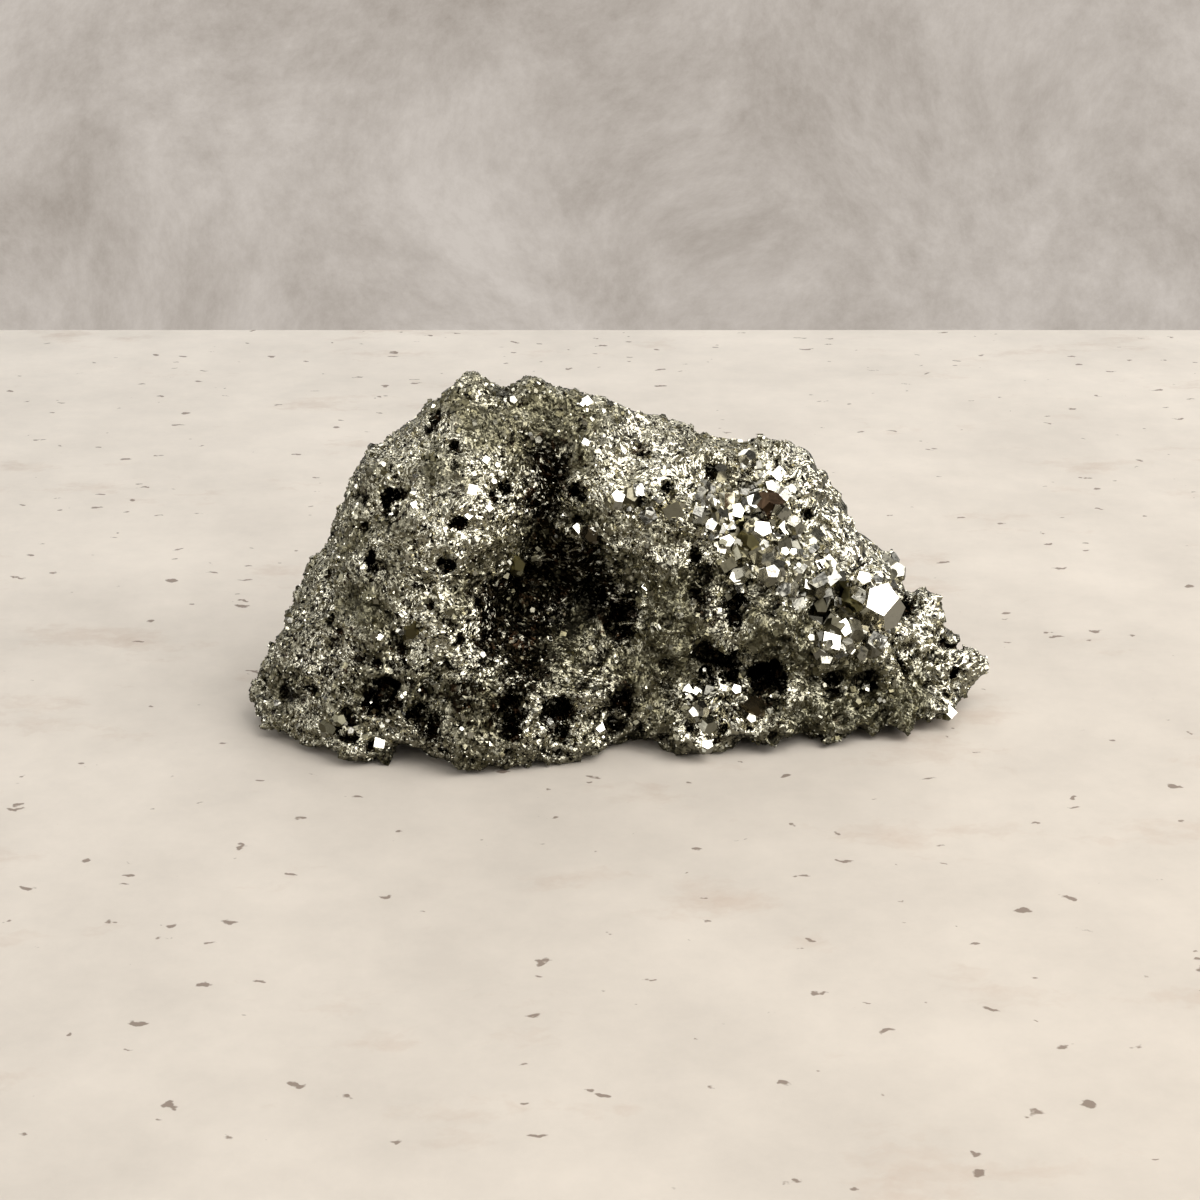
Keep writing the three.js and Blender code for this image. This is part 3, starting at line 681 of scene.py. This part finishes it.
# crystals that grew on one another face nearly the same way
TO_KEY = Vector((0.24, -0.72, 0.65))
mirror = facets("pyrite crystal faces", bright="f0ecdf", dull="7a745f", rusty="46301e", rough=0.09,
    ripple=0.16, shade_and_grime=0.55)
free = {"Coarser": 0.0, "Squashed": 0.7, "Sunk": 0.2, "Facing": TO_KEY, "From X": -1.0, "To X": 1.0,
    "Material": mirror}
for i, (name, form) in enumerate([("coarse_pyritohedra", "pyritohedron"), ("coarse_cubes", "cube")]):
    grow(name, hull_mesh(name + " form", FORMS[form]()), {"Per Square Metre": 0.11e6, "Seed": 57 + i,
        "Smallest": 1.1 * MM, "Largest": 4.2 * MM, "Lean": 0.5, "Together": 0.9, "Lowest": 2 * MM,
        "Least Coarse": 0.35, **free})
# and a few small ones anywhere
grow("stray_crystals", hull_mesh("stray form", pyritohedron_points()),
    {"Per Square Metre": 0.008e6, "Seed": 61, "Smallest": 0.8 * MM, "Largest": 2.0 * MM, "Lean": 0.25,
    "Together": 0.85, "Lowest": 1.2 * MM, "Least Coarse": -1.0, **free})


# --------------------------------------------------------------------------------------------------
# The large crystals
# Cubes and twelve-sided pyritohedra of 1.5 to 9 mm, grown free in open pockets with their roots in
# the crust. Their faces are mirrors, and the ones that share a lean flash together. A few carry a
# brown film of rust.
# --------------------------------------------------------------------------------------------------
TO_FRONT = Vector((0.15, -0.97, -0.05))
TO_LEFT = Vector((-0.6, -0.7, 0.35))
NEAR_KEY = Vector((0.38, -0.88, 0.3))
TO_SKY = Vector((0.1, -0.3, 0.95))
BIG = 6 * MM  # a crystal above this size grew alone, without a twin
SUNK = 0.2  # how much of its size is under the skin
# x, z and size in mm, form, what its main face looks towards, its turn on that face in degrees,
# tone and rust
LARGE = [
    (64, 30, 8.5, "pyritohedron", TO_KEY, 311, 0, 0),
    (57.5, 29.5, 7, "pyritohedron", NEAR_KEY, 40, 1, 0.1),
    (63, 26, 5, "cube", TO_LEFT, 20, 0.6, 0),
    (54.5, 28, 3.5, "cube", TO_KEY, 20, 0, 0),
    (50.5, 26, 4, "cube", TO_KEY, 65, 0, 0),
    (49.5, 22.5, 2, "cube", TO_KEY, 10, 0, 0),
    (49, 42, 2.5, "cube", TO_KEY, 5, 0, 0),
    (51.5, 41.5, 2.5, "cube", TO_KEY, 30, 0.1, 0),
    (25.5, 57.5, 4.5, "cube", TO_LEFT, 12, 0.5, 0),
    (32.5, 55, 4, "pyritohedron", TO_KEY, 30, 0, 0),
    (28.5, 53.5, 3.8, "pyritohedron", TO_KEY, 170, 0, 0),
    (36.5, 55, 4.5, "pyritohedron", TO_FRONT, 60, 0.8, 1),
    (35, 58, 2.6, "cube", NEAR_KEY, 10, 1, 0),
    (33.5, 51, 4.5, "pyritohedron", TO_KEY, 75, 0, 0),
    (25, 51.5, 2.2, "cube", TO_KEY, 50, 0.1, 0),
    (21.5, 57, 2, "cube", TO_KEY, 33, 0, 0),
    (27.5, 59, 2, "cube", TO_SKY, 10, 0, 0),
    (31, 48.5, 4, "pyritohedron", NEAR_KEY, 15, 1, 0.3),
    (26, 48.5, 3.2, "pyritohedron", TO_KEY, 110, 0.3, 0),
    (29, 46, 4, "cube", TO_LEFT, 40, 0.7, 0.1),
    (33, 46, 4, "cube", TO_FRONT, 25, 0.6, 0),
    (38, 49.5, 2, "cube", TO_KEY, 80, 0.1, 0),
    (40, 46, 2, "pyritohedron", TO_KEY, 20, 0.2, 0),
    (13, 58, 4.2, "cube", TO_FRONT, 30, 0.6, 0),
    (39, 54.5, 3.5, "cube", TO_FRONT, 70, 0.5, 0),
    (22, 8.5, 3.5, "pyritohedron", TO_LEFT, 70, 0.6, 0),
    (21.5, 4.5, 2.6, "pyritohedron", TO_KEY, 85, 0, 0),
    (17, 14.5, 2, "cube", TO_KEY, 20, 0, 0),
    (60.5, 12, 1.8, "cube", TO_KEY, 60, 0, 0),
    (81.5, 4.5, 2.5, "cube", TO_KEY, 40, 0.1, 0),
    (32.5, 11, 4, "pyritohedron", TO_FRONT, 25, 0.9, 0.8),
    (28.5, 14.5, 2.5, "pyritohedron", TO_KEY, 65, 0, 0),
    (-58, 14, 3, "cube", TO_KEY, 25, 0, 0),
    (-56.5, 5.5, 2.2, "cube", TO_KEY, 70, 0, 0),
    (-68.5, 8, 3, "pyritohedron", NEAR_KEY, 35, 0.8, 0.2),
    (-65.5, 11, 2.6, "pyritohedron", NEAR_KEY, 15, 0.8, 0),
    (-55.5, 31.5, 1.5, "cube", TO_KEY, 45, 0, 0),
    (-48, 33, 2.8, "pyritohedron", TO_FRONT, 30, 1, 0.4),
    (-82.5, 9, 1.5, "cube", TO_KEY, 10, 0, 0),
    (-33.5, 65, 2.2, "cube", TO_KEY, 75, 0, 0),
    (-30.5, 70, 1.5, "cube", TO_KEY, 50, 0, 0),
    (-47.5, 63, 1.8, "cube", TO_KEY, 60, 0, 0),
    (-47.5, 61, 1.6, "cube", TO_KEY, 15, 0, 0),
    (-34.5, 59.5, 1.4, "cube", TO_KEY, 35, 0, 0),
    (0, 60, 3.5, "pyritohedron", TO_KEY, 45, 0, 0),
    (-7, 79.5, 2.2, "cube", TO_KEY, 25, 0.1, 0),
    (-7.5, 71.5, 1.8, "cube", TO_KEY, 55, 0, 0),
    (-12.5, 54.5, 1.5, "cube", TO_KEY, 65, 0.1, 0),
    (-9.5, 52, 2, "cube", TO_KEY, 30, 0, 0),
    (-6.5, 51, 3, "pyritohedron", TO_FRONT, 70, 0.8, 0.8),
    (-24, 43, 3.5, "pyritohedron", TO_SKY, 20, 1, 0.2),
    (6.5, 39, 1.6, "cube", TO_KEY, 40, 0, 0),
    (-4, 7.5, 2.6, "pyritohedron", TO_KEY, 5, 0.1, 0),
    (19, 14, 2, "cube", TO_KEY, 50, 0, 0),
]
chance = random.Random(3)
large = bmesh.new()
tones = []
rusts = []


def bed_crystal(form, place, size, facing, turn, tone, rust):
    """Adds one crystal with its main face looking along facing."""
    aimed = facing.normalized().to_track_quat("Z", "Y").to_matrix()
    upright = aimed @ Matrix.Rotation(math.radians(turn), 3, "Z")
    uneven = Matrix.Diagonal((chance.uniform(0.85, 1.1), chance.uniform(0.85, 1.1), 1.0))
    solid = hull_mesh("crystal", FORMS[form]())
    solid.transform(Matrix.Translation(place) @ (upright @ uneven * size).to_4x4())
    tones.extend([tone] * len(solid.vertices))
    rusts.extend([rust] * len(solid.vertices))
    large.from_mesh(solid)
    bpy.data.meshes.remove(solid)


for x, z, size, form, facing, turn, tone, rust in LARGE:
    bed, outward, _, _ = skin_tree.ray_cast(Vector((x * MM, -0.2, z * MM)), Vector((0, 1, 0)))
    size = size * MM
    lean = Vector((chance.uniform(-0.12, 0.12), 0, chance.uniform(-0.12, 0.12)))
    bed_crystal(form, bed - outward * SUNK * size, size, facing + lean, turn, tone, rust)
    if size > BIG:
        continue
    # an intergrown twin, smaller and a little askew
    aside = Vector((chance.uniform(-1, 1), -0.3, chance.uniform(-1, 0.2))).normalized() * 0.55 * size
    askew = facing + Vector((chance.uniform(-0.5, 0.5), 0, chance.uniform(-0.5, 0.5)))
    bed_crystal(form, bed + aside - outward * SUNK * size, 0.5 * size, askew, turn + 25,
        chance.random(), rust)

large_mesh = bpy.data.meshes.new("large_crystals")
large.to_mesh(large_mesh)
large.free()
store(large_mesh, "tone", tones)
store(large_mesh, "rust", rusts)
large_mesh.materials.append(facets("pyrite large crystal faces", bright="f0ecdf", dull="7d7752",
    rusty="47382a", rough=0.08, ripple=0.12, shade_and_grime=0.1))
large_crystals = plain_object("large_crystals", large_mesh)
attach(large_crystals, "root")


# --------------------------------------------------------------------------------------------------
# The floor, the lights and the camera
# The specimen stands on a floor of honed travertine, in front of a wall of rough plaster. Soft lamps
# hang round it, and its metal mirrors a dark room with lit panels.
# --------------------------------------------------------------------------------------------------
WIDE = 3.0  # how far the floor runs to each side and to the front, in metres
BEHIND = 0.35  # and how far behind
floor_mesh = bpy.data.meshes.new("floor")
corners = [(-WIDE, -WIDE, 0), (WIDE, -WIDE, 0), (WIDE, BEHIND, 0), (-WIDE, BEHIND, 0)]
floor_mesh.from_pydata(corners, [], [(0, 1, 2, 3)])
floor = plain_object("floor", floor_mesh)
# travertine, honed: a matt cream ground, clouded and blotted with brown, and small brown pits that
# run with its bedding. The metal's mirrors show it darker than the eye does.
stone, tree, shader = new_material("travertine, honed")
place = add_node(tree, "ShaderNodeTexCoord").outputs["Object"]
cloud = add_node(tree, "ShaderNodeTexNoise", {"Vector": place, "Scale": 1 / (60 * MM), "Detail": 8.0,
    "Roughness": 0.7})
shift = add_node(tree, "ShaderNodeTexNoise", {"Vector": place, "Scale": 1 / (5 * MM), "Detail": 3.0})
strayed = add_node(tree, "ShaderNodeVectorMath", {0: shift.outputs["Color"], 1: (7 * MM,) * 3,
    2: place}, operation="MULTIPLY_ADD")
bedded = add_node(tree, "ShaderNodeVectorMath", {0: strayed.outputs[0], 1: (0.45, 1.0, 1.0)},
    operation="MULTIPLY")
pits = add_node(tree, "ShaderNodeTexVoronoi", {"Vector": bedded.outputs[0], "Scale": 1 / (5 * MM)})
chosen = add_node(tree, "ShaderNodeSeparateXYZ", {0: pits.outputs["Color"]})
wide = add_node(tree, "ShaderNodeMapRange", {"Value": chosen.outputs[0], "From Min": 0.4,
    "From Max": 1.0, "To Min": 0.0, "To Max": 0.22})
inside = add_node(tree, "ShaderNodeMath", {0: wide.outputs[0], 1: pits.outputs["Distance"]},
    operation="SUBTRACT")
pit = add_node(tree, "ShaderNodeMapRange", {"Value": inside.outputs[0], "From Max": 0.05,
    "To Max": 0.75})
# painted shade: the cream is darker under the key lamp and paler away from it, evening out its pool of
# light
apart = add_node(tree, "ShaderNodeVectorMath", {0: place, 1: (0.3, -0.35, 0.0)}, operation="DISTANCE")
key_pool_evened = add_node(tree, "ShaderNodeMapRange", {"Value": apart.outputs["Value"], "From Min": 0.2,
    "From Max": 0.95})
cream = add_node(tree, "ShaderNodeMix", {0: key_pool_evened.outputs[0], 6: linear("c4b9ab"), 7: linear("e6ddd1")},
    data_type="RGBA")
worn = add_node(tree, "ShaderNodeMapRange", {"Value": cloud.outputs[0], "From Min": 0.35,
    "From Max": 0.65, "To Min": 0.9, "To Max": 1.06})
clouded = add_node(tree, "ShaderNodeVectorMath", {0: cream.outputs[2], "Scale": worn.outputs[0]},
    operation="SCALE")
blots = add_node(tree, "ShaderNodeTexNoise", {"Vector": bedded.outputs[0], "Scale": 1 / (26 * MM),
    "Detail": 5.0, "Roughness": 0.65})
blot = add_node(tree, "ShaderNodeMapRange", {"Value": blots.outputs[0], "From Min": 0.58,
    "From Max": 0.75, "To Max": 0.45})
stained = add_node(tree, "ShaderNodeMix", {0: blot.outputs[0], 6: clouded.outputs[0],
    7: linear("b09580")}, data_type="RGBA")
pitted = add_node(tree, "ShaderNodeMix", {0: pit.outputs[0], 6: stained.outputs[2],
    7: linear("66503f")}, data_type="RGBA")
path = add_node(tree, "ShaderNodeLightPath")
seen = add_node(tree, "ShaderNodeMix", {0: path.outputs["Is Glossy Ray"], 6: pitted.outputs[2],
    7: linear("6e695e")}, data_type="RGBA")
tree.links.new(seen.outputs[2], shader.inputs["Base Color"])
shader.inputs["Roughness"].default_value = 0.75
floor_mesh.materials.append(stone)

# the room: the metal mirrors lit panels on dark walls, and rough plaster is seen past the floor
world = bpy.data.worlds.new("room")
world.use_nodes = True
bpy.context.scene.world = world
tree = world.node_tree
tree.nodes.clear()
path = add_node(tree, "ShaderNodeLightPath")
way = add_node(tree, "ShaderNodeTexCoord").outputs["Generated"]
walls = add_node(tree, "ShaderNodeTexNoise", {"Vector": way, "Scale": 2.2, "Detail": 1.0})
panels = add_node(tree, "ShaderNodeMapRange", {"Value": walls.outputs[0], "From Min": 0.50,
    "From Max": 0.63, "To Min": 0.0, "To Max": 1.0}, interpolation_type="SMOOTHSTEP")
toward = add_node(tree, "ShaderNodeSeparateXYZ", {0: way})
wall = add_node(tree, "ShaderNodeMapRange", {"Value": toward.outputs[1], "From Min": -0.2,
    "From Max": 0.6, "To Min": 0.0, "To Max": 0.08}, interpolation_type="SMOOTHSTEP")
lit_room = add_node(tree, "ShaderNodeMath", {0: panels.outputs[0], 1: wall.outputs[0]},
    operation="ADD")
room = add_node(tree, "ShaderNodeMix", {0: lit_room.outputs[0], 6: (0.022, 0.019, 0.012, 1),
    7: (1.75, 1.75, 1.75, 1)}, data_type="RGBA", clamp_factor=False)
plaster = add_node(tree, "ShaderNodeTexNoise", {"Vector": way, "Scale": 9.0, "Detail": 10.0,
    "Roughness": 0.78, "Distortion": 0.25})
plastered = add_node(tree, "ShaderNodeMapRange", {"Value": plaster.outputs[0], "From Min": 0.35,
    "From Max": 0.65})
wall_face = add_node(tree, "ShaderNodeMix", {0: plastered.outputs[0], 6: linear("a59c93"),
    7: linear("cdc5bd")}, data_type="RGBA")
seen = add_node(tree, "ShaderNodeMix", {0: path.outputs["Is Camera Ray"], 6: room.outputs[2],
    7: wall_face.outputs[2]}, data_type="RGBA")
sky = add_node(tree, "ShaderNodeBackground", {"Color": seen.outputs[2], "Strength": 1.0})
add_node(tree, "ShaderNodeOutputWorld", {"Surface": sky.outputs[0]})

# white soft lamps, all turned to the middle of the specimen: place and size in metres, and watts
MIDDLE = Vector((0, 0, 0.03))
LAMPS = [
    ("key", (0.38, -0.33, 0.72), (0.6, 0.6), 5.15),
    ("fill", (-0.9, -0.2, 0.6), (0.4, 0.4), 1.0),
    ("side", (0.85, -0.15, 0.45), (0.45, 0.45), 2.2),
    ("back", (0.2, 0.9, 0.7), (0.9, 0.3), 1.2),
]
for name, place, size, watts in LAMPS:
    light = bpy.data.lights.new(name, "AREA")
    light.shape = "RECTANGLE"
    light.size, light.size_y = size
    light.energy = watts
    lamp = plain_object(name, light)
    lamp.location = place
    lamp.rotation_euler = (MIDDLE - Vector(place)).to_track_quat("-Z", "Y").to_euler()

# the camera looks down on the specimen from in front, a little to the left of its middle
ELEVATION = math.radians(22)
DISTANCE = 575 * MM
AIM = Vector((-3.96 * MM, 0, 35 * MM))
LOWERED = 6.92 * MM  # how far it is moved down its own upright, which lifts the specimen in view
ahead = Vector((0, math.cos(ELEVATION), -math.sin(ELEVATION)))
above = Vector((0, math.sin(ELEVATION), math.cos(ELEVATION)))
lens = bpy.data.cameras.new("camera")
lens.lens = 70
camera = plain_object("camera", lens)
camera.location = AIM - ahead * DISTANCE - above * LOWERED
camera.rotation_euler = (math.radians(90) - ELEVATION, 0, 0)
bpy.context.scene.camera = camera
bpy.context.scene.view_settings.view_transform = "Standard"
